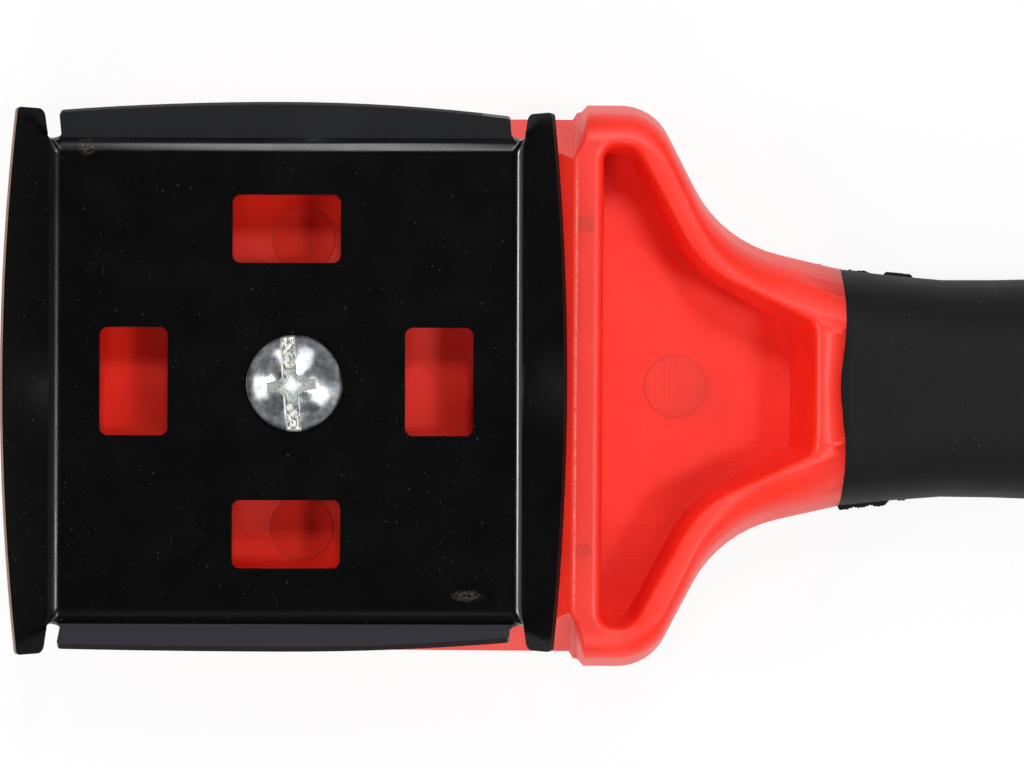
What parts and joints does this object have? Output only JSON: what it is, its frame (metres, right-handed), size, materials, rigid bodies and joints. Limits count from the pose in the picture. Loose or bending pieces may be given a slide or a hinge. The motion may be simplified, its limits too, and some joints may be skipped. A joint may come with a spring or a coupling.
{
  "type": "hook blade paint scraper",
  "caption": "Hand paint scraper: square hook blade with turned-up edges, screwed to the flared plastic head of a rubber-gripped handle with a hang hole.",
  "frame": {"origin": "middle of the tool's length and width, on the plane that its flat back rests on", "axes": "+X from the blade to the handle's end, +Y across the head, +Z out of the blade's face, away from the flat back"},
  "size_m": [0.23, 0.0658, 0.0269],
  "materials": {
    "red_plastic": "satin moulded polypropylene",
    "black_rubber": "matte overmoulded rubber",
    "black_lacquered_steel": "gloss black lacquer over steel",
    "zinc_plate": "bright zinc plate"
  },
  "bodies": {
    "handle": {"handle_body": "red_plastic", "soft_grip": "black_rubber", "lock_nut": "zinc_plate"},
    "screw": {"blade_screw": "zinc_plate"},
    "blade": {"blade": "black_lacquered_steel"}
  },
  "joints": [
    {"name": "screw_travel", "type": "slide", "parent": "handle", "child": "screw", "axis": [0, 0, 1], "range_m": [0, 0.0054]},
    {"name": "blade_turn", "type": "hinge", "parent": "screw", "child": "blade", "pos_m": [-0.08292, 0.0002, 0.02075], "axis": [0, 0, 1], "continuous": true}
  ]
}
